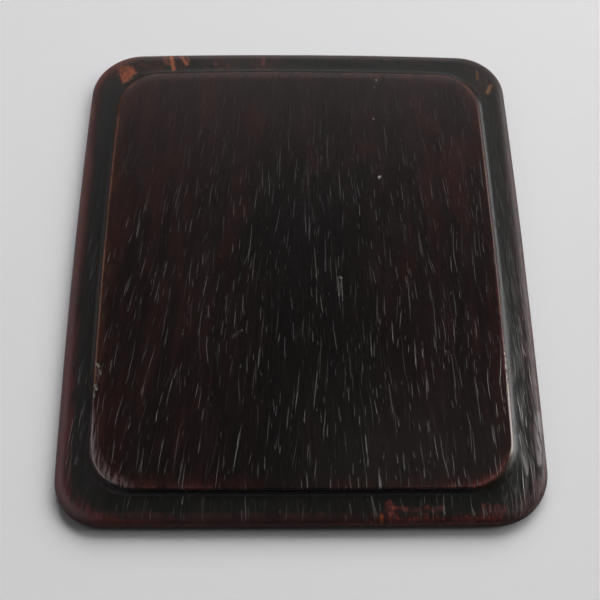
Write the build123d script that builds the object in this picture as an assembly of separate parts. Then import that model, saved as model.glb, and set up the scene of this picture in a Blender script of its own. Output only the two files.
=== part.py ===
from build123d import *
import os

# A thin hardwood cover: a board with a soft, rounded edge, and a raised panel on top of it.
# Millimetres. +X is across the grain, +Y along the grain, +Z up.
# The origin is the centre of the underside's bounding box.

# Driving dimensions
WIDTH = 130.0            # overall, across the grain
LENGTH = 151.0           # overall, along the grain
BOARD_THICKNESS = 3.5
EDGE_RADIUS = 1.7        # rounding of the board's upper outer edge
UNDER_RADIUS = 1.4       # rounding of its lower outer edge
CROWN_WIDTH = 3.0        # how far in from the edge the rim starts to fall away
CROWN_DROP = 0.3         # how much of the height that fall takes
PANEL_INSET = 8.9        # from the board's outer edge to the panel's wall
PANEL_THICKNESS = 1.5
SKIRT_WIDTH = 1.3        # how far the panel's foot stands out from its wall
SKIRT_HEIGHT = 0.15
COVE_RADIUS = 0.65       # hollow between the foot and the wall
ARRIS_RADIUS = 0.6       # rounding of the panel's upper edge

# The sides are not quite straight: each bulges by this much at its middle
BULGE = {"near": 0.3, "right": 0.8, "far": 1.4, "left": 1.1}

# Corner radii, going round from the near left corner
BOARD_RADII = (12.4, 14.5, 13.3, 14.5)
PANEL_RADII = (11.8, 12.5, 11.7, 11.6)


def outline(inset, radii):
    """Plan of the board moved in by inset, as a face with four bulging sides and rounded corners."""
    left = inset + BULGE["left"] - WIDTH / 2
    right = WIDTH / 2 - inset - BULGE["right"]
    near = inset + BULGE["near"] - LENGTH / 2
    far = LENGTH / 2 - inset - BULGE["far"]
    corners = [(left, near), (right, near), (right, far), (left, far)]
    middle_x = (left + right) / 2
    middle_y = (near + far) / 2
    bulge_points = [
        (middle_x, near - BULGE["near"]),
        (right + BULGE["right"], middle_y),
        (middle_x, far + BULGE["far"]),
        (left - BULGE["left"], middle_y),
    ]
    sides = [
        ThreePointArc(corners[i], bulge_points[i], corners[(i + 1) % 4]) for i in range(4)
    ]
    face = make_face(sides)
    for corner, radius in zip(corners, radii):
        vertex = face.vertices().sort_by_distance(corner)[0]
        face = fillet(vertex, radius)
    return face


def plate(inset, radii, thickness):
    """Flat plate of the outline, standing on z = 0."""
    return extrude(outline(inset, radii), thickness)


def cover_board():
    """Flat board whose top falls away a little near the edge, and whose edge is rounded."""
    fall_height = BOARD_THICKNESS - CROWN_DROP
    crown_radii = [radius - CROWN_WIDTH / 2 for radius in BOARD_RADII]
    crown = loft(
        [
            Pos(0, 0, fall_height) * outline(0, BOARD_RADII),
            Pos(0, 0, BOARD_THICKNESS) * outline(CROWN_WIDTH, crown_radii),
        ]
    )
    board = plate(0, BOARD_RADII, fall_height) + crown
    outer_edges = [edge for edge in board.edges() if abs(edge.center().Z - fall_height) < 0.01]
    board = fillet(outer_edges, EDGE_RADIUS)
    underside = board.faces().filter_by(GeomType.PLANE).sort_by(Axis.Z)[0]
    return fillet(underside.edges(), UNDER_RADIUS)


def raised_panel():
    """Panel with a thin foot, a hollow up to its wall, and a softly rounded upper edge."""
    foot = plate(PANEL_INSET - SKIRT_WIDTH, PANEL_RADII, SKIRT_HEIGHT)
    field = plate(PANEL_INSET, PANEL_RADII, PANEL_THICKNESS)
    panel = foot + field
    foot_top = panel.faces().filter_by_position(Axis.Z, SKIRT_HEIGHT - 0.01, SKIRT_HEIGHT + 0.01)[0]
    panel = fillet(foot_top.inner_wires()[0].edges(), COVE_RADIUS)
    panel = fillet(panel.faces().sort_by(Axis.Z)[-1].edges(), ARRIS_RADIUS)
    return Pos(0, 0, BOARD_THICKNESS) * panel


os.makedirs("parts", exist_ok=True)
for name, shape in {"cover_board": cover_board(), "raised_panel": raised_panel()}.items():
    export_step(shape, f"parts/{name}.step")
    size = shape.bounding_box().size
    print(f"{name}: {size.X:.2f} x {size.Y:.2f} x {size.Z:.2f} mm, {shape.volume / 1000:.2f} cm3")
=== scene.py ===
import math

import bpy
import numpy as np
from mathutils import Matrix, Vector, noise
from mathutils.kdtree import KDTree


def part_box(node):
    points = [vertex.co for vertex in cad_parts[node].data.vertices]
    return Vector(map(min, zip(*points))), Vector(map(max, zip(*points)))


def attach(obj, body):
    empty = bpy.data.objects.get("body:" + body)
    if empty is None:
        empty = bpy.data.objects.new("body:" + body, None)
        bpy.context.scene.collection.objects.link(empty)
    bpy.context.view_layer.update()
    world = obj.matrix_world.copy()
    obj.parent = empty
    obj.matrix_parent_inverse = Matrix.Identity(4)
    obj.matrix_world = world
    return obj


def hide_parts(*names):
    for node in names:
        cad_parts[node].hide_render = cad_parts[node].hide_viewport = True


# A thin dark hardwood cover: a board with a flat rim and a rounded edge, and a raised panel on it.
# Shapes are worked out in millimetres and turned into metres when a mesh is made.
MM = 0.001

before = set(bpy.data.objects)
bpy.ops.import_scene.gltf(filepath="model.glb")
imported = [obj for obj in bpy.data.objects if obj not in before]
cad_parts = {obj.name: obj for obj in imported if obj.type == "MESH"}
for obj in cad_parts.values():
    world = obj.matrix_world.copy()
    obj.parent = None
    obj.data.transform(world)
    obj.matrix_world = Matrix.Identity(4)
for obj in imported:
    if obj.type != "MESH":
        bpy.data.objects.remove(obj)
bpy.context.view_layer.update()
board_high = np.array(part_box("cover_board")[1]) / MM
panel_low, panel_high = (np.array(corner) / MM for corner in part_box("raised_panel"))

# Plan of the board: half sizes, the bulge of each side, and the corner radii from the near left corner round
HALF_X, HALF_Y = board_high[0], board_high[1]
BULGE = {"near": 0.3, "right": 0.8, "far": 1.4, "left": 1.1}
BOARD_RADII = np.array([12.4, 14.5, 13.3, 14.5])
PANEL_RADII = np.array([11.8, 12.5, 11.7, 11.6])

# Heights and insets of the section, an inset being the distance in from the board's outer edge. The crown is
# the rounded part of the rim, and the corner radii are smaller by LIP_TIGHTER where it ends
PANEL_TOP = panel_high[2]
SEAT = panel_low[2]
CROWN_WIDTH = 3.0
EDGE_HEIGHT = 1.4
LIP_TIGHTER = 1.5
FOOT_INSET = HALF_X - panel_high[0]
WALL_INSET = FOOT_INSET + 1.3
ARRIS_RADIUS = 0.6
# The board's rim starts this far outside the panel's foot, and its hidden seat ends half as far
SEAM = 0.010
HOLLOW_HEIGHT = PANEL_TOP - ARRIS_RADIUS - SEAT
# How far the hollow at the panel's foot reaches out from the wall on each side, and how fast it flattens
HOLLOW_REACH = {"near": 1.3, "right": 2.5, "far": 3.2, "left": 1.4}
HOLLOW_WIDENS = 2.2
HOLLOW_POWER = 3.5
# How far in from the wall, and how deep, the panel's upper edge is rubbed down on each side
RUBBED_WIDTH = {"near": 1.1, "right": 1.2, "far": 2.4, "left": 1.1}
RUBBED_DEPTH = {"near": 0.03, "right": 0.05, "far": 0.15, "left": 0.04}
# The near left corner of the panel is rubbed down most: its middle, reach, width and depth
RUBBED_CORNER, CORNER_REACH, CORNER_WIDTH, CORNER_DEPTH = (-53.5, -58.5), 12.0, 2.2, 0.42
# How far the rim leans down towards the right edge, at most
RIGHT_LEAN = 0.30
# Chips out of the panel's left edge: place, radius and depth
CHIPS = [
    ((-55.0, -32.4), 0.9, 0.24),
    ((-54.5, -34.6), 1.1, 0.26),
    ((-54.9, -38.7), 0.9, 0.22),
    ((-55.1, -41.0), 0.8, 0.18),
]

# Unevenness left by hand work: the size of the lumps and their height, both ways from the even surface
RIM_LUMPS, EDGE_LUMPS = (14.0, 0.05), (18.0, 0.12)
TOP_LUMPS, ARRIS_LUMPS = (22.0, 0.03), (7.0, 0.08)

# Mesh density: faces along a short side, a long side and a corner
CUTS_X, CUTS_Y, CUTS_CORNER = 150, 180, 32


# ---------------------------------------------------------------- plan and section

def corner_radii(inset):
    """The outline's corner radii at an inset: the board's at the edge, the panel's from its foot inwards."""
    lip_radii = BOARD_RADII - LIP_TIGHTER
    if inset <= CROWN_WIDTH:
        return BOARD_RADII + (lip_radii - BOARD_RADII) * inset / CROWN_WIDTH
    share = min(1.0, (inset - CROWN_WIDTH) / (FOOT_INSET - CROWN_WIDTH))
    return lip_radii + (PANEL_RADII - lip_radii) * share


def outline(inset):
    """Closed ring of points at an inset, from the middle of the near left corner, anticlockwise."""
    radii = corner_radii(inset)
    left, right = inset + BULGE["left"] - HALF_X, HALF_X - inset - BULGE["right"]
    near, far = inset + BULGE["near"] - HALF_Y, HALF_Y - inset - BULGE["far"]
    corners = np.array([(left, near), (right, near), (right, far), (left, far)])
    bulges = [BULGE["near"], BULGE["right"], BULGE["far"], BULGE["left"]]
    cuts = [CUTS_X, CUTS_Y, CUTS_X, CUTS_Y]
    sides, directions = [], []
    for i in range(4):
        start, end = corners[i], corners[(i + 1) % 4]
        length = np.linalg.norm(end - start)
        along = (end - start) / length
        outward = np.array([along[1], -along[0]])
        t = np.linspace(radii[i] / length, 1 - radii[(i + 1) % 4] / length, cuts[i] + 1)[:, None]
        sides.append(start + along * length * t + outward * bulges[i] * 4 * t * (1 - t))
        slopes = [along * length + outward * bulges[i] * 4 * (1 - 2 * end_t) for end_t in (t[0], t[-1])]
        directions.append([slope / np.linalg.norm(slope) for slope in slopes])
    rounds = []
    for i in range(4):
        before, after = sides[i - 1][-1], sides[i][0]
        into, out_of = directions[i - 1][1], directions[i][0]
        reach = np.linalg.solve(np.array([into, out_of]).T, after - before)[0]
        tip = before + into * reach
        weight = math.cos(math.acos(float(np.clip(into @ out_of, -1, 1))) / 2)
        u = np.linspace(0, 1, CUTS_CORNER + 1)[:, None]
        arc = (1 - u) ** 2 * before + 2 * weight * u * (1 - u) * tip + u ** 2 * after
        rounds.append(arc / ((1 - u) ** 2 + 2 * weight * u * (1 - u) + u ** 2))
    half = CUTS_CORNER // 2
    ring = []
    for i in range(4):
        ring += [rounds[i][half:-1], sides[i], rounds[(i + 1) % 4][1:half]]
    return np.concatenate(ring)


def arc_steps(centre, width, height, start, end, steps):
    """Section points (inset, height) on part of an ellipse between two angles in degrees, ends included."""
    return [
        (centre[0] + width * math.cos(math.radians(a)), centre[1] + height * math.sin(math.radians(a)))
        for a in np.linspace(start, end, steps + 1)
    ]


def smooth(value, low, high):
    """0 below low to 1 above high, smoothly; low may be above high to turn it round."""
    t = np.clip((value - low) / (high - low), 0, 1)
    return t * t * (3 - 2 * t)


def board_section():
    """Board from under the panel, over the rim and round the edge, to the underside."""
    seat = [(FOOT_INSET + 1.0, SEAT), (FOOT_INSET + 0.3, SEAT), (FOOT_INSET - SEAM / 2, SEAT)]
    rim = [(inset, SEAT) for inset in np.linspace(FOOT_INSET - SEAM, CROWN_WIDTH + 0.1, 18)]
    upper = arc_steps((CROWN_WIDTH, EDGE_HEIGHT), CROWN_WIDTH, SEAT - EDGE_HEIGHT, 90, 180, 17)
    lower = arc_steps((EDGE_HEIGHT, EDGE_HEIGHT), EDGE_HEIGHT, EDGE_HEIGHT, 180, 270, 9)[1:]
    under = [(2.3, 0.0), (3.0, 0.0), (4.0, 0.0)]
    return seat + rim + upper + lower + under


def panel_section():
    """Panel from the flat of its top, over the upper edge and down the hollow, to its glued face."""
    start = WALL_INSET + ARRIS_RADIUS
    flat = [(start + extra, PANEL_TOP) for extra in (2.6, 2.1, 1.7, 1.3, 1.0, 0.7, 0.45, 0.2)]
    arris = arc_steps((start, PANEL_TOP - ARRIS_RADIUS), ARRIS_RADIUS, ARRIS_RADIUS, 90, 180, 8)
    hollow = [(inset, SEAT + 0.2) for inset in np.linspace(WALL_INSET, FOOT_INSET, 11)[1:]]
    return flat + arris + hollow + [(FOOT_INSET, SEAT)]


# ---------------------------------------------------------------- meshes

def grid_from_ring(ring):
    """Coons patch inside a ring: rows of points, the near side first, with the ring as its border."""
    across, along = CUTS_X + CUTS_CORNER, CUTS_Y + CUTS_CORNER
    near = ring[: across + 1]
    right = ring[across: across + along + 1]
    far = ring[across + along: 2 * across + along + 1][::-1]
    left = np.concatenate([ring[2 * across + along:], ring[:1]])[::-1]
    u = np.linspace(0, 1, across + 1)[None, :, None]
    v = np.linspace(0, 1, along + 1)[:, None, None]
    sides = (1 - v) * near[None] + v * far[None] + (1 - u) * left[:, None] + u * right[:, None]
    corners = (1 - u) * (1 - v) * near[0] + u * (1 - v) * near[-1] + (1 - u) * v * far[0] + u * v * far[-1]
    return sides - corners


def ring_order(across, along):
    """Grid indices (row, column) of the border, in the ring's own order."""
    near = [(0, c) for c in range(across)]
    right = [(r, across) for r in range(along)]
    far = [(along, c) for c in range(across, 0, -1)]
    left = [(r, 0) for r in range(along, 0, -1)]
    return near + right + far + left


def gap_to_ring(points, ring):
    """Distance from each point to the nearest point of a ring."""
    tree = KDTree(len(ring))
    for i, point in enumerate(ring):
        tree.insert((*point, 0.0), i)
    tree.balance()
    return np.array([tree.find((*point, 0.0))[2] for point in points])


def shell(section, cap_first):
    """Vertices, insets and faces of a closed shell made of rings along the section.

    One end is closed with a fine grid, the section's start if cap_first, and the other with one hidden face.
    """
    rings = [outline(inset) for inset, _ in section]
    count = len(rings[0])
    points = [np.column_stack([ring, np.full(count, height)]) for ring, (_, height) in zip(rings, section)]
    insets = [np.full(count, inset) for inset, _ in section]
    faces = []
    for k in range(len(section) - 1):
        a, b = k * count, (k + 1) * count
        for i in range(count):
            j = (i + 1) % count
            faces.append((a + i, b + i, b + j, a + j))
    grid_ring, flat_ring = (0, len(section) - 1) if cap_first else (len(section) - 1, 0)
    across, along = CUTS_X + CUTS_CORNER, CUTS_Y + CUTS_CORNER
    grid = grid_from_ring(rings[grid_ring])
    index = np.full((along + 1, across + 1), -1)
    for i, (row, column) in enumerate(ring_order(across, along)):
        index[row, column] = grid_ring * count + i
    inside = grid[1:-1, 1:-1].reshape(-1, 2)
    index[1:-1, 1:-1] = np.arange(len(inside)).reshape(along - 1, across - 1) + len(section) * count
    points.append(np.column_stack([inside, np.full(len(inside), section[grid_ring][1])]))
    insets.append(section[grid_ring][0] + gap_to_ring(inside, rings[grid_ring]))
    for row in range(along):
        for column in range(across):
            lower, upper = index[row, column: column + 2], index[row + 1, column: column + 2]
            corners = (lower[0], lower[1], upper[1], upper[0])
            faces.append(corners if cap_first else corners[::-1])
    flat = [flat_ring * count + i for i in range(count)]
    faces.append(tuple(flat[::-1]) if cap_first else tuple(flat))
    return np.concatenate(points), np.concatenate(insets), faces


def uneven(points, size, seed):
    """Smooth noise from -1 to 1 at each point, with lumps of about the given size in millimetres."""
    shift = Vector((seed * 17.3, seed * 5.1, seed * 9.7))
    return np.array([noise.noise(Vector(p) / size + shift) for p in points])


def outwards(points):
    """Level directions away from the middle, one for each point."""
    return points[:, :2] / np.maximum(np.linalg.norm(points[:, :2], axis=1, keepdims=True), 1.0)


def make_piece(name, points, insets, faces, material):
    """An object of the mesh, which keeps the insets for its material."""
    mesh = bpy.data.meshes.new(name)
    mesh.from_pydata((points * MM).tolist(), [], [tuple(int(i) for i in face) for face in faces])
    attribute = mesh.attributes.new("inset", "FLOAT", "POINT")
    attribute.data.foreach_set("value", insets.astype(np.float32))
    mesh.polygons.foreach_set("use_smooth", [len(face) == 4 for face in faces])
    mesh.set_sharp_from_angle(angle=math.radians(40))
    mesh.materials.append(material)
    mesh.validate()
    piece = bpy.data.objects.new(name, mesh)
    bpy.context.scene.collection.objects.link(piece)
    return piece


def near_value(values, middle, width):
    """1 where a value is at the middle, falling off softly over the width."""
    return np.exp(-((values - middle) / width) ** 2)


def by_side(points, amounts):
    """A value for each point blended from one amount per side of the board."""
    across, along = points[:, 0] / HALF_X, points[:, 1] / HALF_Y
    parts = {"near": -along, "right": across, "far": along, "left": -across}
    weights = {side: np.clip(part, 0.001, None) ** 8 for side, part in parts.items()}
    total = sum(weights.values())
    return sum(amounts[side] * weight for side, weight in weights.items()) / total


def hollow_height(points, insets):
    """Height above the seat of the hollow that runs from the panel's wall down into the rim."""
    near_right = smooth(points[:, 0], 40.0, 55.0) * smooth(points[:, 1], 20.0, -50.0)
    reach = by_side(points, HOLLOW_REACH) + HOLLOW_WIDENS * near_right
    share = np.clip((WALL_INSET - insets) / reach, 0, 1)
    return HOLLOW_HEIGHT * (1 - share) ** HOLLOW_POWER


def rubbed_down(points, insets):
    """How much the panel's top is worn away near its upper edge."""
    depth = np.zeros(len(points))
    corner = np.exp(-(np.linalg.norm(points[:, :2] - RUBBED_CORNER, axis=1) / CORNER_REACH) ** 4)
    for width, most in (
        (by_side(points, RUBBED_WIDTH), by_side(points, RUBBED_DEPTH)),
        (CORNER_WIDTH, CORNER_DEPTH * corner * (1 + 0.5 * uneven(points, 5.0, 7))),
    ):
        depth += most * np.clip((WALL_INSET + width - insets) / width, 0, 1) ** 1.7
    for place, radius, chip_depth in CHIPS:
        gap = np.linalg.norm(points[:, :2] - place, axis=1) / radius
        depth += chip_depth * (1 - smooth(gap, 0.2, 1.0)) * (1 + 0.6 * uneven(points, 0.9, 8))
    return depth


def make_board(material):
    """The board, with the outer part of the hollow in its rim, and the rim's lean and unevenness."""
    points, insets, faces = shell(board_section(), cap_first=False)
    top = points[:, 2] > SEAT - 0.05
    open_rim = top & (insets < FOOT_INSET - 0.75 * SEAM)
    points[:, 2] += hollow_height(points, insets) * open_rim
    size, height = RIM_LUMPS
    points[:, 2] += height * uneven(points, size, 1) * open_rim * near_value(insets, 4.0, 1.6)
    lean = smooth(insets, 7.2, 2.2) * smooth(points[:, 0], 50.0, 58.0) * smooth(points[:, 1], 60.0, -30.0)
    points[:, 2] -= RIGHT_LEAN * lean * points[:, 2] / SEAT
    size, height = EDGE_LUMPS
    pushed = height * uneven(points, size, 2) * near_value(insets, 1.2, 1.2)
    points[:, :2] += outwards(points) * pushed[:, None]
    return make_piece("board_wood", points, insets, faces, material)


def make_panel(material):
    """The panel, with the inner part of the hollow, its rubbed edge and chips, and its unevenness."""
    points, insets, faces = shell(panel_section(), cap_first=True)
    hollow = (insets < WALL_INSET - 0.01) & (points[:, 2] > SEAT + 0.1)
    points[hollow, 2] = SEAT + hollow_height(points, insets)[hollow]
    above = np.clip((points[:, 2] - SEAT - 0.3) / (PANEL_TOP - SEAT - 0.3), 0, 1)
    size, height = TOP_LUMPS
    points[:, 2] += (height * uneven(points, size, 3) - rubbed_down(points, insets)) * above
    size, height = ARRIS_LUMPS
    pushed = height * uneven(points, size, 4) * near_value(insets, WALL_INSET + 0.3, 0.8)
    points[:, :2] += outwards(points) * pushed[:, None]
    return make_piece("panel_wood", points, insets, faces, material)


# ---------------------------------------------------------------- node helper

class Nodes:
    """A material, with short calls that build its node tree and hand back output sockets."""

    # Each column of pore cells is moved along from the next by this share of a cell, so that no rows show
    STAGGER = 0.618
    # A pore's lean to either side, and its least length and least strength as shares of the most
    LEAN, SHORTEST, FAINTEST = 0.08, 0.45, 0.15
    # How bright a pore's far end is, how far its dark wall lies beside the lit one, and where its soft edge
    # ends, the last two as shares of its half width. The lit wall is a painted highlight and the dark wall is
    # painted shade, as if the light came from one side
    DULL_END, DARK_WALL, CORE = 0.35, -1.9, 0.40

    def __init__(self, name):
        self.material = bpy.data.materials.new(name)
        self.material.use_nodes = True
        self.tree = self.material.node_tree
        self.principled = self.tree.nodes["Principled BSDF"]
        coordinates = self.add("TexCoord", {}).outputs["Object"]
        self.place = self.vector("MULTIPLY", coordinates, (1 / MM, 1 / MM, 1 / MM))
        self.flat_place = self.vector("MULTIPLY", self.place, (1.0, 1.0, 0.0))

    def add(self, kind, inputs, **settings):
        """A new node, with its settings and its inputs."""
        node = self.tree.nodes.new("ShaderNode" + kind)
        for key, value in settings.items():
            setattr(node, key, value)
        for key, value in inputs.items():
            self.give(node.inputs[key], value)
        return node

    def give(self, socket, value):
        """Links a socket to an input, or sets the input to a plain value."""
        if isinstance(value, bpy.types.NodeSocket):
            self.tree.links.new(value, socket)
        else:
            socket.default_value = value

    def math(self, operation, a, b=0.0, c=0.0, clamp=False):
        """One sum on up to three values."""
        return self.add("Math", {0: a, 1: b, 2: c}, operation=operation, use_clamp=clamp).outputs[0]

    def plus(self, a, b):
        return self.math("ADD", a, b)

    def times(self, *values):
        """The product of several values."""
        product = values[0]
        for value in values[1:]:
            product = self.math("MULTIPLY", product, value)
        return product

    def raised(self, value, mask, amount):
        """A value with an amount added where the mask is 1."""
        return self.math("MULTIPLY_ADD", mask, amount, value)

    def either(self, *masks):
        """The strongest of several masks."""
        strongest = masks[0]
        for mask in masks[1:]:
            strongest = self.math("MAXIMUM", strongest, mask)
        return strongest

    def limited(self, value, low, high):
        """A value kept between two others."""
        return self.math("MINIMUM", self.math("MAXIMUM", value, low), high)

    def vector(self, operation, a, b=(0, 0, 0)):
        """One sum on two vectors, giving a vector or a number."""
        node = self.add("VectorMath", {0: a, 1: b}, operation=operation)
        return node.outputs["Value" if operation in ("LENGTH", "DISTANCE", "DOT_PRODUCT") else "Vector"]

    def step(self, value, low, high):
        """0 below low to 1 above high, smoothly; low may be above high to turn it round."""
        inputs = {"Value": value, "From Min": low, "From Max": high}
        return self.add("MapRange", inputs, interpolation_type="SMOOTHSTEP").outputs[0]

    def spread(self, value, low, high):
        """A value from 0 to 1, spread over low to high."""
        return self.math("MULTIPLY_ADD", value, high - low, low)

    def noise(self, place, size, detail=3.0, roughness=0.5, seed=0.0):
        """Noise with lumps of size (x, y, z) millimetres."""
        scale = tuple(1 / s for s in size)
        spot = self.vector("ADD", self.vector("MULTIPLY", place, scale), (seed, seed * 0.7, seed * 1.3))
        inputs = {"Vector": spot, "Scale": 1.0, "Detail": detail, "Roughness": roughness}
        return self.add("TexNoise", inputs).outputs["Fac"]

    def mix(self, factor, a, b):
        """Colour a to colour b."""
        node = self.add("Mix", {"Factor": factor}, data_type="RGBA")
        for socket, colour in ((node.inputs[6], a), (node.inputs[7], b)):
            self.give(socket, (*colour, 1.0) if isinstance(colour, tuple) else colour)
        return node.outputs[2]

    def strokes(self, place, cell, half_width, half_length, share, tilt, seed):
        """Open pores: at most one slanted groove in each cell, along Y. Gives its lit wall, a painted
        highlight, and its dark wall, painted shade.
        """
        shifted = self.vector("ADD", place, (seed * 31.0, seed * 57.0, 0.0))
        spot = self.add("SeparateXYZ", {"Vector": shifted}).outputs
        column = self.math("DIVIDE", spot[0], cell[0])
        row = self.math("MULTIPLY_ADD", column, self.STAGGER, self.math("DIVIDE", spot[1], cell[1]))
        inputs = {"Vector": self.add("CombineXYZ", {0: column, 1: row}).outputs[0], "Scale": 1.0}
        voronoi = self.add("TexVoronoi", inputs, voronoi_dimensions="2D")
        chance = self.add("SeparateColor", {"Color": voronoi.outputs["Color"]}).outputs
        middle = self.add("SeparateXYZ", {"Vector": voronoi.outputs["Position"]}).outputs
        columns = self.math("SUBTRACT", column, middle[0])
        rows = self.math("MULTIPLY_ADD", columns, -self.STAGGER, self.math("SUBTRACT", row, middle[1]))
        x, y = self.times(columns, cell[0]), self.times(rows, cell[1])
        lean = self.plus(self.spread(chance[2], -self.LEAN, self.LEAN), tilt)
        across = self.math("DIVIDE", self.math("MULTIPLY_ADD", y, lean, x), half_width)
        along = self.math("DIVIDE", y, self.spread(chance[0], half_length * self.SHORTEST, half_length))
        present = self.math("LESS_THAN", chance[1], share)
        strength = self.math("DIVIDE", chance[1], share, clamp=True)
        strength = self.times(self.spread(self.times(strength, strength), self.FAINTEST, 1.0), present)
        bright_end = self.spread(self.step(along, 1.0, -1.0), self.DULL_END, 1.0)
        walls = []
        for shift, power in ((0.0, bright_end), (self.DARK_WALL, 1.0)):
            where = self.add("CombineXYZ", {0: self.plus(across, shift), 1: along}).outputs[0]
            wall = self.step(self.vector("LENGTH", where), 1.0, self.CORE)
            walls.append(self.times(wall, power, strength))
        return walls

    def mark(self, start, end, reach):
        """1 on the line from start to end, falling to 0 at reach millimetres from it, seen from above."""
        axis = (end[0] - start[0], end[1] - start[1], 0.0)
        offset = self.vector("SUBTRACT", self.flat_place, (*start, 0.0))
        share = self.vector("DOT_PRODUCT", offset, axis)
        share = self.math("DIVIDE", share, axis[0] ** 2 + axis[1] ** 2, clamp=True)
        nearest = self.add("VectorMath", {0: axis, "Scale": share}, operation="SCALE").outputs["Vector"]
        return self.step(self.vector("DISTANCE", offset, nearest), reach, 0.0)

    def worn(self, ragged, marks, soft=0.16):
        """A mask of marks, each (start, end, reach, strength), with the ragged noise along their edges."""
        masks = []
        for start, end, reach, strength in marks:
            mark = self.mark(start, end, reach)
            worn = self.step(self.plus(mark, ragged), 0.5 - soft, 0.5 + soft)
            masks.append(self.times(worn, self.step(mark, 0.0, 0.2), strength))
        return self.either(*masks)

    def patch(self, corners, soft):
        """1 inside a convex outline, falling to 0 over soft millimetres each way, seen from above."""
        middle = [sum(corner[i] for corner in corners) / len(corners) for i in range(2)]
        inside = None
        for start, end in zip(corners, corners[1:] + corners[:1]):
            normal = Vector((start[1] - end[1], end[0] - start[0], 0.0)).normalized()
            if normal.dot(Vector((*middle, 0.0)) - Vector((*start, 0.0))) < 0:
                normal = -normal
            offset = self.vector("SUBTRACT", self.flat_place, (*start, 0.0))
            gap = self.vector("DOT_PRODUCT", offset, tuple(normal))
            inside = gap if inside is None else self.math("MINIMUM", inside, gap)
        return self.step(inside, -soft, soft)


# ---------------------------------------------------------------- worn places

# Places worn through to brighter wood: start and end of each mark, its reach (all mm), and its strength
ORANGE_MARKS = [
    ((-42.2, 72.9), (-41.2, 70.8), 1.8, 0.35),
    ((-40.2, 73.4), (-39.3, 68.4), 1.3, 1.0),
    ((-37.0, 73.4), (-35.2, 70.4), 1.1, 0.9),
    ((-35.0, 73.0), (-34.6, 71.4), 0.6, 0.5),
    ((-50.0, 70.2), (-47.5, 69.6), 0.9, 0.15),
    ((-43.6, 69.2), (-43.4, 68.2), 0.6, 0.2),
    ((56.5, 67.9), (56.3, 64.9), 0.8, 0.30),
    ((60.2, 62.4), (59.2, 60.0), 1.3, 0.6),
    ((20.1, -73.2), (20.1, -74.8), 0.9, 0.8),
]
# The largest such place, a patch on the far left corner of the rim
ORANGE_PATCH = [
    (-57.0, 69.6), (-56.2, 66.0), (-54.8, 62.6), (-53.8, 62.8), (-50.8, 67.0), (-51.4, 68.8), (-54.0, 69.6)
]
# Marks of redder wood on the rim and on the panel's edge
RED_MARKS = [
    ((-26.5, 72.2), (-26.3, 70.2), 0.9, 0.45),
    ((-22.2, 71.2), (-22.0, 69.4), 0.8, 0.4),
    ((-11.3, 72.6), (-11.0, 69.4), 1.3, 0.7),
    ((22.4, -70.6), (23.0, -75.2), 2.4, 1.0),
    ((23.4, -71.2), (26.4, -71.4), 1.5, 0.6),
    ((27.0, -71.4), (31.0, -71.6), 1.6, 0.35),
    ((31.5, -71.0), (35.4, -71.4), 1.7, 0.45),
    ((31.4, -73.0), (33.4, -74.6), 1.5, 0.5),
    ((47.0, -70.8), (51.4, -71.6), 2.0, 0.45),
    ((24.0, -74.6), (50.0, -74.2), 2.0, 1.0),
    ((6.0, -75.0), (18.5, -74.9), 1.1, 0.5),
    ((-52.0, -73.0), (-48.0, -73.8), 1.3, 0.7),
    ((-47.0, -74.2), (-34.0, -74.8), 1.0, 0.6),
]
PANEL_RED_MARKS = [
    ((26.0, -66.0), (41.0, -65.9), 1.2, 0.20),
    ((36.0, -65.4), (47.0, -64.0), 2.6, 0.6),
    ((43.0, -65.8), (49.6, -63.2), 1.6, 1.0),
    ((49.6, -63.2), (54.0, -57.0), 1.6, 0.9),
    ((-49.0, -62.0), (-46.0, -63.8), 2.4, 0.8),
    ((-45.0, -64.0), (-38.0, -65.0), 2.8, 0.40),
    ((-34.0, -65.2), (-24.0, -65.6), 2.4, 0.28),
    ((55.6, -2.0), (55.2, -34.0), 1.3, 0.4),
]
# Specks, scuffs and the dust in the chips, paler than the wood
PALE_MARKS = [
    ((23.6, 27.6), (23.8, 27.8), 0.85, 1.0),
    ((24.3, 63.1), (24.3, 63.5), 0.55, 0.6),
    ((23.6, 60.5), (23.7, 60.7), 0.5, 0.5),
    ((22.8, 48.5), (22.8, 48.8), 0.5, 0.5),
    ((10.6, -5.6), (10.8, -11.5), 0.30, 0.32),
    ((11.5, -5.6), (11.7, -13.0), 0.30, 0.32),
    ((11.2, -5.6), (11.5, -6.0), 0.55, 0.60),
    ((-55.2, -31.9), (-54.5, -32.6), 0.7, 0.6),
    ((-54.4, -33.6), (-54.0, -34.8), 0.6, 0.5),
    ((-55.1, -38.2), (-54.7, -39.2), 0.6, 0.5),
    ((-55.2, -40.6), (-55.2, -41.4), 0.5, 0.4),
]
# Fainter scuffs
SCUFFS = [
    ((-18.6, -24.2), (-17.6, -22.9), 1.3, 0.20),
    ((-17.3, -22.6), (-16.3, -22.1), 1.2, 0.26),
    ((39.6, -28.2), (40.6, -29.4), 1.3, 0.22),
]
# Drying checks across the far rim
DARK_MARKS = [
    ((15.9, 73.8), (15.9, 69.4), 0.5, 0.9),
    ((31.8, 74.0), (31.8, 69.4), 0.5, 0.9),
]
# Painted highlights, pale grey streaks on the right side of the rim: start, end and reach
RIGHT_PAINTED_HIGHLIGHTS = [((63.2, -46.0), (62.4, -59.0), 1.8), ((57.4, -52.0), (58.6, -62.0), 1.1)]

# Linear colours. The ground of the panel and of the rim, and its streaks, clouds and fibres, with painted sheen
# lightening the rim's left side
PANEL_GROUND, PANEL_STREAKS = (0.0044, 0.0040, 0.0036), (0.0170, 0.0064, 0.0064)
PANEL_CLOUDS, PANEL_FAR = (0.0240, 0.0066, 0.0058), (0.0230, 0.0082, 0.0084)
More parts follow.
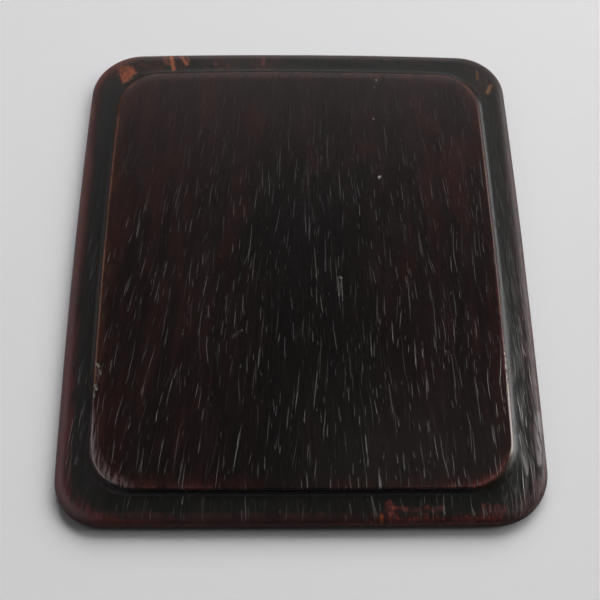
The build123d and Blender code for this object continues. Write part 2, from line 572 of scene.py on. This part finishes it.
# A paler grey at the panel's near right is partly painted sheen
PANEL_NEAR_RIGHT_GREY_AND_SHEEN, RIM_LEFT_PAINTED_SHEEN = (0.0165, 0.0138, 0.0128), (0.0125, 0.0118, 0.0112)
RIM_GROUND, RIM_STREAKS = (0.0074, 0.0078, 0.0068), (0.0110, 0.0084, 0.0072)
PALE_FIBRE, DARK_FIBRE = (0.030, 0.022, 0.020), (0.0026, 0.0024, 0.0022)
# The panel's upper edge, and its foot in painted shade with painted sheen on the right and the near left
PANEL_TINT, PANEL_LEFT_TINT = (0.046, 0.010, 0.009), (0.036, 0.014, 0.009)
PANEL_RED, PANEL_EDGE_RED = (0.050, 0.012, 0.011), (0.135, 0.046, 0.044)
# The arris's cream on the right and the grey at the near left corner are partly painted highlights
ARRIS_BROWN, ARRIS_CREAM_AND_HIGHLIGHT, CORNER_GREY_AND_HIGHLIGHT = (0.170, 0.062, 0.036), (0.430, 0.380, 0.340), (0.150, 0.110, 0.112)
FOOT_PAINTED_SHADE, FOOT_RIGHT_PAINTED_SHEEN = (0.0040, 0.0034, 0.0032), (0.0110, 0.0115, 0.0095)
FOOT_LEFT_PAINTED_SHEEN = (0.0150, 0.0125, 0.0115)
# The rim's lip and its worn places, with painted sheen, painted highlights and painted shade among them
LIP_DARK, LIP_RED, BRINK_RED = (0.014, 0.009, 0.008), (0.056, 0.020, 0.020), (0.090, 0.030, 0.026)
LEFT_FAR_RED, LEFT_NEAR_RED, LEFT_STREAK = (0.125, 0.034, 0.026), (0.105, 0.018, 0.022), (0.070, 0.018, 0.020)
HAZE_BROWN, HALO_BROWN = (0.024, 0.010, 0.008), (0.030, 0.013, 0.010)
RUBBED_GREY_AND_SHEEN, RUBBED_RED, RUBBED_DARK_BETWEEN_SHEEN = (0.078, 0.076, 0.072), (0.100, 0.062, 0.062), (0.0040, 0.0030, 0.0030)
PAINTED_HIGHLIGHT_GREY = (0.190, 0.170, 0.168)
DULL_RED, BRIGHT_RED = (0.055, 0.014, 0.013), (0.165, 0.038, 0.030)
DULL_ORANGE, BRIGHT_ORANGE, GOLD = (0.080, 0.018, 0.007), (0.245, 0.058, 0.018), (0.210, 0.082, 0.014)
# Painted shade low on the edge, and the black of the drying checks
LOW_EDGE_PAINTED_SHADE, CHECK_BLACK = (0.0060, 0.0045, 0.0045), (0.0020, 0.0018, 0.0016)
# The pores' dark walls in painted shade, the dust and painted highlight on their lit walls, and the dust in
# specks and chips; and the floor
PORE_WALL_SHADE, PANEL_DUST_AND_HIGHLIGHT = (0.0022, 0.0020, 0.0018), (0.235, 0.218, 0.204)
RIM_DUST_AND_HIGHLIGHT, RIM_RIGHT_DUST_AND_HIGHLIGHT, SPECK_DUST = (0.190, 0.185, 0.176), (0.500, 0.480, 0.455), (0.240, 0.235, 0.225)
FLOOR_DARK, FLOOR_PALE = (0.790, 0.788, 0.795), (0.815, 0.813, 0.820)


# ---------------------------------------------------------------- materials

class Wood(Nodes):
    """Dark stained open-pored hardwood with filled pores, grain along Y, and worn edges. The pores' lit walls
    carry a painted highlight and their dark walls painted shade.

    The inset attribute is 0 at the board's outer edge, 7.6 at the panel's foot and 8.9 at its wall.
    """

    # Pores: the cell that each one sits in, its half width and half length (all mm), the share of the cells
    # that hold one, and its strength
    PORES = [
        ((2.8, 20.0), 0.085, 9.5, 0.80, 1.0),
        ((2.1, 13.0), 0.082, 6.0, 0.70, 1.0),
        ((1.4, 7.0), 0.078, 3.2, 0.48, 1.0),
        ((0.9, 3.6), 0.070, 1.5, 0.22, 0.55),
    ]
    # A pore of more than this half length leans less
    LEANING_LENGTH = 3.0
    BUMP_DISTANCE, BUMP_STRENGTH = 0.05 * MM, 0.8

    def __init__(self, name, top):
        super().__init__(name)
        self.inset = self.add("Attribute", {}, attribute_name="inset").outputs["Fac"]
        self.x, self.y, self.z = self.add("SeparateXYZ", {"Vector": self.place}).outputs
        self.left, self.right = self.step(self.x, 10.0, -50.0), self.step(self.x, 10.0, 50.0)
        self.near, self.far = self.step(self.y, -30.0, -62.0), self.step(self.y, 30.0, 62.0)
        self.left_side, self.right_side = self.step(self.x, -48.0, -56.0), self.step(self.x, 48.0, 56.0)
        self.lay_grain(top)
        self.streaks = self.step(self.noise(self.grain, (4, 36, 4), 3.0, 0.6, seed=1.0), 0.40, 0.70)
        self.fibres = self.noise(self.grain, (0.45, 9, 0.45), 3.0, 0.6, seed=5.0)
        self.rubbed = self.noise(self.grain, (0.55, 6.5, 0.55), 2.0, 0.6, seed=61.0)
        self.smear = self.noise(self.grain, (4, 14, 4), 3.0, 0.6, seed=41.0)
        self.patchy = self.step(self.noise(self.place, (4, 9, 4), 3.0, 0.6, seed=21.0), 0.36, 0.64)
        self.streaky = self.noise(self.grain, (0.7, 2.8, 0.7), 3.0, 0.65, seed=31.0)
        self.crumbs = self.noise(self.place, (0.6, 1.2, 0.6), 3.0, 0.65, seed=33.0)
        self.ragged = self.plus(self.spread(self.streaky, -0.8, 0.8), self.spread(self.crumbs, -1.1, 1.0))

    def lay_grain(self, top):
        """Coordinates along the grain, which wanders a little to each side as it runs along Y."""
        drift = self.spread(self.noise(self.place, (25, 60, 25), 1.0, seed=3.0), -1.6, 1.6)
        sway = self.spread(self.noise(self.place, (9, 20, 9), 1.0, seed=6.0), -1.3, 1.3)
        wiggle = self.spread(self.noise(self.place, (2.0, 5.0, 2.0), 1.0, seed=8.0), -0.12, 0.12)
        # it also fans out towards the near left corner
        fan = self.times(self.y, self.spread(self.step(self.x, -45.0, 30.0), -0.085, 0.030))
        sideways = self.plus(self.plus(drift, sway), self.plus(wiggle, fan))
        self.grain = self.vector("ADD", self.place, self.add("CombineXYZ", {0: sideways}).outputs[0])
        # the same grain laid out flat, so that a stroke keeps its width where it runs down an edge
        below = self.math("SUBTRACT", top, self.z)
        slope_x = self.limited(self.math("DIVIDE", self.x, 30.0), -1.0, 1.0)
        slope_y = self.limited(self.math("DIVIDE", self.y, 40.0), -1.0, 1.0)
        flat_x = self.plus(self.math("MULTIPLY_ADD", below, slope_x, self.x), sideways)
        flat_y = self.math("MULTIPLY_ADD", below, slope_y, self.y)
        self.flat_grain = self.add("CombineXYZ", {0: flat_x, 1: flat_y}).outputs[0]

    def paint(self, colour, *masks):
        """Lays a colour over the wood, as strongly as the product of the masks."""
        self.colour = self.mix(self.times(*masks), self.colour, colour)

    def paint_fibres(self):
        """Thin paler and darker lines along the grain."""
        self.paint(PALE_FIBRE, self.step(self.fibres, 0.48, 0.8), 0.20)
        self.paint(DARK_FIBRE, self.step(self.fibres, 0.48, 0.25), 0.6)

    def paint_pores(self):
        """Long, short and very fine strokes, their dark walls in painted shade. Gives the amount of pale dust
        and painted highlight on their lit walls.
        """
        # gathered in drifts and in lines, most on the near side and most of all at the near right
        drifts = self.step(self.noise(self.grain, (8, 20, 8), 2.0, seed=11.0), 0.34, 0.60)
        lines = self.step(self.noise(self.grain, (1.4, 45, 1.4), 1.0, seed=12.0), 0.40, 0.58)
        gathered = self.times(self.spread(drifts, 0.25, 1.0), self.spread(lines, 0.25, 1.15))
        nearer = self.spread(self.step(self.y, 60.0, -52.0), 0.06, 1.0)
        crowded = self.times(self.step(self.x, 5.0, 35.0), self.step(self.y, -20.0, -50.0))
        amount = self.times(gathered, nearer, self.spread(crowded, 1.0, 1.5))
        # pores lean to the right as they run to the far side, most on the left
        wandering = self.spread(self.noise(self.place, (12, 25, 12), 1.0, seed=71.0), -0.12, 0.12)
        lean = self.plus(self.spread(self.step(self.x, -34.0, 30.0), -0.07, 0.03), wandering)
        layers = []
        for seed, (cell, half_width, half_length, share, strength) in enumerate(self.PORES):
            tilt = self.times(lean, min(1.0, self.LEANING_LENGTH / half_length))
            walls = self.strokes(self.flat_grain, cell, half_width, half_length, share, tilt, seed + 1.0)
            layers.append([self.times(wall, strength) for wall in walls])
        self.lit, self.dark = (self.either(*walls) for walls in zip(*layers))
        # painted shade on the pores' dark walls
        self.paint(PORE_WALL_SHADE, self.dark, 0.7)
        return self.times(self.lit, amount)

    def finish(self, roughness, fibre_depth):
        """A rubbed lacquer, duller in the pores; the pores and fibres are grooves."""
        height = self.plus(self.times(self.lit, -0.6), self.times(self.dark, -1.0))
        height = self.raised(height, self.fibres, fibre_depth)
        height = self.raised(height, self.smear, 0.8)
        inputs = {"Height": height, "Distance": self.BUMP_DISTANCE, "Strength": self.BUMP_STRENGTH}
        self.give(self.principled.inputs["Base Color"], self.colour)
        self.give(self.principled.inputs["Roughness"], self.raised(roughness, self.lit, 0.2))
        self.give(self.principled.inputs["Normal"], self.add("Bump", inputs).outputs[0])
        self.principled.inputs["IOR"].default_value = 1.5
        return self.material


class PanelWood(Wood):
    """The raised panel's wood."""

    def __init__(self):
        super().__init__("panel_wood", PANEL_TOP)

    def make(self):
        self.paint_ground()
        self.paint_fibres()
        self.wear_edge()
        self.wear_corner_and_paint_highlights()
        self.paint_foot_shade_and_sheen()
        self.paint_dust_and_highlights(self.paint_pores())
        near_left = self.times(self.step(self.x, -40.0, -52.0), self.step(self.y, -20.0, -45.0))
        duller = self.spread(near_left, 0.30, 0.60)
        return self.finish(self.raised(self.spread(self.smear, 0.22, 0.31), self.foot, duller), fibre_depth=0.7)

    def paint_ground(self):
        """Near black, with soft red-brown streaks and clouds that grow towards both sides and the far end."""
        flank = self.either(self.step(self.x, -6.0, -36.0), self.step(self.x, 10.0, 36.0))
        share = self.times(self.spread(self.streaks, 0.28, 1.0), self.spread(flank, 0.12, 1.0))
        self.colour = self.mix(share, PANEL_GROUND, PANEL_STREAKS)
        clouds = self.step(self.noise(self.grain, (10, 20, 10), 2.0, 0.5, seed=14.0), 0.50, 0.72)
        self.paint(PANEL_CLOUDS, clouds, self.spread(self.step(self.y, 30.0, -20.0), 0.8, 0.12))
        self.paint(PANEL_FAR, self.step(self.y, 5.0, 60.0), self.spread(self.left, 0.25, 0.55))
        # a paler grey towards the near right, partly painted sheen
        self.paint(PANEL_NEAR_RIGHT_GREY_AND_SHEEN, self.step(self.y, -25.0, -60.0), self.step(self.x, -20.0, 25.0), 0.7)

    def wear_edge(self):
        """The upper edge, rubbed through to redder wood: a tint beside it, single marks, and the arris."""
        tint_side = self.either(self.times(self.left, 0.9), self.times(self.near, 0.1))
        tint_side = self.either(tint_side, self.spread(self.far, 0.30, 0.70))
        tint = self.mix(self.left, PANEL_TINT, PANEL_LEFT_TINT)
        self.paint(tint, self.step(self.inset, 14.0, 9.2), self.spread(self.patchy, 0.10, 0.8), tint_side)
        red = self.times(self.worn(self.ragged, PANEL_RED_MARKS), self.step(self.inset, 12.2, 9.4))
        red = self.times(red, self.spread(self.step(self.rubbed, 0.40, 0.58), 0.3, 1.0))
        red_colour = self.mix(self.step(self.inset, 10.4, 9.4), PANEL_RED, PANEL_EDGE_RED)
        self.paint(red_colour, red, self.step(self.inset, 8.8, 9.0))
        on_edge = self.times(self.step(self.inset, 8.6, 8.9), self.step(self.inset, 9.8, 9.1))
        between_corners = self.times(self.step(self.y, 66.0, 56.0), self.step(self.y, -65.0, -58.0))
        left_edge = self.times(self.left, self.spread(between_corners, 0.1, 1.0))
        others = (self.times(self.far, 0.15), self.times(self.right, 0.4), self.times(self.near, 0.10))
        worn = self.times(on_edge, self.spread(self.patchy, 0.35, 1.0), self.either(left_edge, *others))
        self.paint(ARRIS_BROWN, worn, self.spread(self.step(self.y, -60.0, 20.0), 0.4, 1.0))

    def wear_corner_and_paint_highlights(self):
        """The arris rubbed pale on the near right, and the corner rubbed grey at the near left, both partly
        painted highlights.
        """
        cream = self.times(self.right_side, self.step(self.y, -22.0, -32.0), self.step(self.y, -58.5, -56.0))
        cream = self.times(cream, self.step(self.inset, 8.85, 9.0), self.step(self.inset, 9.6, 9.35))
        broken = self.raised(self.crumbs, self.step(self.y, -30.0, -48.0), 0.25)
        # pale cream on the right arris: rubbed wood, partly a painted highlight
        self.paint(ARRIS_CREAM_AND_HIGHLIGHT, cream, self.step(broken, 0.46, 0.64))
        corner = self.mark((-54.6, -50.0), (-48.5, -63.5), 7.0)
        # pinkish grey on the near left corner: rubbed wood, partly a painted highlight
        self.paint(CORNER_GREY_AND_HIGHLIGHT, corner, self.step(self.inset, 11.6, 9.6), self.step(self.rubbed, 0.42, 0.56))

    def paint_foot_shade_and_sheen(self):
        """The hollow at the panel's foot is painted dark as shade, and on the right and the near half of the
        left it takes the rim's colour lightened by painted sheen.
        """
        foot = self.step(self.inset, 8.85, 8.6)
        foot_shade_and_sheen = self.mix(self.step(self.x, 40.0, 50.0), FOOT_PAINTED_SHADE, FOOT_RIGHT_PAINTED_SHEEN)
        on_left = self.times(self.left_side, self.step(self.y, -50.0, -20.0))
        # painted shade in the foot's hollow, painted sheen on its right and near left
        self.paint(self.mix(on_left, foot_shade_and_sheen, FOOT_LEFT_PAINTED_SHEEN), foot, 0.85)
        self.foot = self.times(foot, self.step(self.x, 50.0, 44.0))

    def paint_dust_and_highlights(self, amount):
        """Pale dust and a painted highlight on the lit walls of the pores, and pale dust in the specks, the
        scuffs and the chips.
        """
        # pale dust with a painted highlight on the pores' lit walls
        self.paint(PANEL_DUST_AND_HIGHLIGHT, amount, self.step(self.inset, 8.3, 9.3))
        grit = self.noise(self.place, (0.35, 0.7, 0.35), 2.0, 0.6, seed=51.0)
        specks = self.worn(self.spread(grit, -1.1, 1.0), PALE_MARKS)
        scuffs = self.worn(self.spread(grit, -2.0, 1.0), SCUFFS, 0.30)
        self.paint(SPECK_DUST, self.either(specks, scuffs))


class BoardWood(Wood):
    """The board's wood: the rim, its lip and its edge."""

    def __init__(self):
        super().__init__("board_wood", SEAT)
        self.low_edge = self.step(self.z, 2.3, 1.3)
        self.left_edge = self.times(self.left_side, self.step(self.inset, 3.4, 1.0))
        self.plain_corner = self.times(self.step(self.y, -50.0, -58.0), self.step(self.inset, 5.0, 6.4))

    def make(self):
        self.colour = self.mix(self.times(self.streaks, 0.5), RIM_GROUND, RIM_STREAKS)
        # painted sheen: the left side of the rim made lighter, as if lit from the left
        self.paint(RIM_LEFT_PAINTED_SHEEN, self.left_side)
        self.paint_fibres()
        self.wear_lip()
        self.wear_and_paint_sheen()
        self.wear_red()
        self.wear_orange()
        # painted shade low on the edge, where it turns under towards the floor
        self.paint(LOW_EDGE_PAINTED_SHADE, self.low_edge, 0.8)
        self.paint(CHECK_BLACK, self.worn(self.spread(self.streaky, -0.3, 0.3), DARK_MARKS))
        self.paint_dust_and_highlights(self.paint_pores())
        return self.finish(self.roughness(), fibre_depth=1.6)

    def wear_lip(self):
        """The rim's lip is rubbed redder, most at its brink and on the left, with a haze at the far corners."""
        lip = self.step(self.raised(self.inset, self.patchy, -1.2), 3.4, 1.0)
        far_right = self.times(self.right_side, self.step(self.y, -10.0, 30.0))
        lip_colour = self.mix(self.streaky, LIP_DARK, LIP_RED)
        self.paint(lip_colour, lip, self.spread(self.far, 0.9, 0.45), self.spread(far_right, 1.0, 0.5))
        left_haze = self.times(self.step(self.y, 60.0, 66.0), self.step(self.x, 4.0, -16.0), self.patchy)
        right_haze = self.mark((53.5, 70.5), (59.5, 62.5), 6.0)
        right_haze = self.times(right_haze, self.spread(self.patchy, 0.4, 1.0))
        self.paint(HAZE_BROWN, self.either(left_haze, right_haze), 0.8)
        brink = self.times(self.step(self.inset, 2.0, 0.8), self.spread(self.patchy, 0.25, 0.9))
        self.paint(BRINK_RED, brink, self.spread(self.left, 0.5, 1.0), self.spread(self.far, 1.0, 0.4))
        left_red = self.mix(self.step(self.y, 30.0, -20.0), LEFT_FAR_RED, LEFT_NEAR_RED)
        self.paint(left_red, self.left_edge, self.spread(self.patchy, 0.3, 0.7))

    def wear_and_paint_sheen(self):
        """The right side of the rim is rubbed grey and red, the left side red, in streaks along the grain. The
        grey and dark streaks on the right are partly a painted streaky sheen, with painted highlights along the
        lip.
        """
        rubbed_and_sheen = self.times(self.right_side, self.spread(self.step(self.y, 10.0, -32.0), 0.12, 1.0))
        rubbed_and_sheen = self.times(rubbed_and_sheen, self.spread(self.plain_corner, 1.0, 0.1))
        rubbed_and_sheen_colour = self.mix(self.step(self.inset, 5.2, 3.2), RUBBED_GREY_AND_SHEEN, RUBBED_RED)
        # grey and dark streaks on the right: rubbed wood, partly a painted streaky sheen
        self.paint(rubbed_and_sheen_colour, rubbed_and_sheen, self.step(self.rubbed, 0.46, 0.62), 0.62)
        self.paint(RUBBED_DARK_BETWEEN_SHEEN, rubbed_and_sheen, self.step(self.rubbed, 0.50, 0.36), 0.8)
        left_worn = self.times(self.left_side, self.step(self.inset, 5.0, 2.6))
        left_worn = self.times(left_worn, self.step(self.rubbed, 0.40, 0.60))
        self.paint(LEFT_STREAK, left_worn, self.spread(self.step(self.y, 0.0, -50.0), 0.1, 0.8))
        # painted highlights along the right lip and near the right corner
        painted_highlight = self.either(*(self.mark(start, end, reach) for start, end, reach in RIGHT_PAINTED_HIGHLIGHTS))
        self.paint(PAINTED_HIGHLIGHT_GREY, painted_highlight, self.step(self.rubbed, 0.38, 0.54))

    def wear_red(self):
        blotches = self.step(self.noise(self.place, (1.5, 1.1, 1.5), 2.0, 0.6, seed=81.0), 0.42, 0.60)
        red = self.mix(self.step(self.streaky, 0.34, 0.66), DULL_RED, BRIGHT_RED)
        self.paint(red, self.worn(self.ragged, RED_MARKS), self.spread(blotches, 0.3, 1.0))

    def wear_orange(self):
        """Places worn through to orange wood, with a brown halo, golden on the right side."""
        self.paint(HALO_BROWN, self.worn(self.spread(self.crumbs, -0.2, 0.8), ORANGE_MARKS), 0.8)
        marks = self.worn(self.spread(self.crumbs, -0.9, 0.8), ORANGE_MARKS, 0.30)
        patch = self.plus(self.patch(ORANGE_PATCH, 1.3), self.spread(self.crumbs, -0.7, 0.7))
        mottled = self.spread(self.step(self.crumbs, 0.3, 0.6), 0.6, 1.0)
        patch = self.times(self.step(patch, 0.25, 0.85), mottled)
        # brighter away from the far left corner
        inwards = self.step(self.math("SUBTRACT", self.x, self.y), -127.0, -116.0)
        brighter = self.raised(self.spread(self.plus(self.streaky, self.crumbs), -0.08, 0.46), inwards, 0.20)
        orange = self.mix(self.step(brighter, 0.36, 0.68), DULL_ORANGE, BRIGHT_ORANGE)
        self.paint(self.mix(self.right_side, orange, GOLD), self.either(marks, patch), 0.9)

    def paint_dust_and_highlights(self, amount):
        """Pale dust and a painted highlight on the lit walls of the pores, most on the right side."""
        # pale dust with a painted highlight on the pores' lit walls, brightest on the right, as if lit from
        # there
        dust_and_highlight = self.times(amount, self.spread(self.right_side, 0.6, 1.0), self.step(self.inset, 7.4, 6.4))
        plain = self.spread(self.times(self.plain_corner, self.right_side), 1.0, 0.3)
        self.paint(self.mix(self.right_side, RIM_DUST_AND_HIGHLIGHT, RIM_RIGHT_DUST_AND_HIGHLIGHT), dust_and_highlight, plain)

    def roughness(self):
        """Duller on the right side, the left edge and low on the edge, and dullest low on the near edge."""
        roughness = self.raised(self.spread(self.smear, 0.27, 0.37), self.right_side, 0.12)
        roughness = self.raised(roughness, self.low_edge, 0.45)
        roughness = self.raised(roughness, self.left_edge, 0.22)
        near_edge = self.times(self.step(self.z, 3.2, 2.3), self.step(self.y, -68.0, -73.0))
        return self.either(roughness, self.times(near_edge, 0.9))


def floor_material():
    """A matt pale sheet, faintly clouded."""
    nodes = Nodes("pale_floor")
    clouds = nodes.noise(nodes.place, (60, 60, 60), 2.0, seed=2.0)
    nodes.give(nodes.principled.inputs["Base Color"], nodes.mix(clouds, FLOOR_DARK, FLOOR_PALE))
    nodes.principled.inputs["Roughness"].default_value = 0.9
    nodes.principled.inputs["Specular IOR Level"].default_value = 0.1
    return nodes.material


# ---------------------------------------------------------------- floor, lights and camera

def make_floor():
    """A plain pale sheet, 6 m square."""
    half = 3.0
    mesh = bpy.data.meshes.new("floor")
    corners = [(-half, -half, 0), (half, -half, 0), (half, half, 0), (-half, half, 0)]
    mesh.from_pydata(corners, [], [(0, 1, 2, 3)])
    mesh.materials.append(floor_material())
    floor = bpy.data.objects.new("floor", mesh)
    bpy.context.scene.collection.objects.link(floor)


def direction(azimuth, elevation):
    """Unit vector from the object, azimuth measured from +Y towards +X."""
    a, e = math.radians(azimuth), math.radians(elevation)
    return Vector((math.sin(a) * math.cos(e), math.cos(a) * math.cos(e), math.sin(e)))


def area_light(name, azimuth, elevation, distance, width, height, power, colour):
    """A soft rectangular light that faces the object."""
    data = bpy.data.lights.new(name, "AREA")
    data.shape = "RECTANGLE"
    data.size, data.size_y = width, height
    data.energy = power
    data.color = colour
    light = bpy.data.objects.new(name, data)
    towards = direction(azimuth, elevation)
    light.location = towards * distance
    light.rotation_mode = "QUATERNION"
    light.rotation_quaternion = towards.to_track_quat("Z", "Y")
    bpy.context.scene.collection.objects.link(light)
    return light


def make_lights():
    """A wide window behind, a large soft one to the right with a small card in it, and a card to the left.

    Three more lights show only in the gloss: two behind and one to the left.
    """
    window = area_light("back_window", 14, 30, 2.4, 2.4, 1.3, 77.0, (1.0, 0.99, 1.0))
    window.visible_glossy = False
    for name, elevation, height, power in (("back_sheen", 45, 0.25, 2.05), ("back_glow", 24, 0.8, 4.5)):
        sheen = area_light(name, 2, elevation, 2.2, 1.6, height, power, (1.0, 0.98, 0.98))
        sheen.visible_diffuse = False
    area_light("right_window", 69, 24, 1.6, 1.3, 1.1, 11.9, (1.0, 0.99, 1.0))
    area_light("right_card", 80, 25, 1.5, 0.45, 0.4, 2.0, (1.0, 0.97, 0.93))
    area_light("left_card", -70, 26, 1.8, 1.0, 0.9, 3.0, (1.0, 0.98, 0.98))
    gleam = area_light("left_gleam", -100, 37, 1.8, 1.3, 0.8, 7.0, (1.0, 0.95, 0.97))
    gleam.visible_diffuse = False
    world = bpy.data.worlds.new("studio")
    world.use_nodes = True
    world.node_tree.nodes["Background"].inputs["Color"].default_value = (0.98, 0.99, 1.0, 1.0)
    world.node_tree.nodes["Background"].inputs["Strength"].default_value = 0.03
    bpy.context.scene.world = world


def make_camera():
    """The view from in front and well above, a shade to the left, tilted a little."""
    target = Vector((-0.0001, -0.0104, 0.0))
    distance, azimuth, elevation, roll = 0.2846, -2.65, 64.45, 2.41
    a, e, r = math.radians(azimuth), math.radians(elevation), math.radians(roll)
    back = Vector((math.sin(a) * math.cos(e), -math.cos(a) * math.cos(e), math.sin(e)))
    right = back.cross(Vector((0, 0, 1))) * -1
    right.normalize()
    up = back.cross(right)
    right, up = right * math.cos(r) + up * math.sin(r), up * math.cos(r) - right * math.sin(r)
    data = bpy.data.cameras.new("camera")
    data.lens, data.sensor_width = 60.0, 36.0
    data.clip_start, data.clip_end = 0.01, 20.0
    camera = bpy.data.objects.new("camera", data)
    axes = Matrix((right, up, back)).transposed().to_4x4()
    camera.matrix_world = Matrix.Translation(target + back * distance) @ axes
    bpy.context.scene.collection.objects.link(camera)
    bpy.context.scene.camera = camera


board = make_board(BoardWood().make())
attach(board, "root")
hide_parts("cover_board")

panel = make_panel(PanelWood().make())
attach(panel, "root")
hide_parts("raised_panel")

make_floor()
make_lights()
make_camera()
bpy.context.scene.view_settings.view_transform = "Standard"
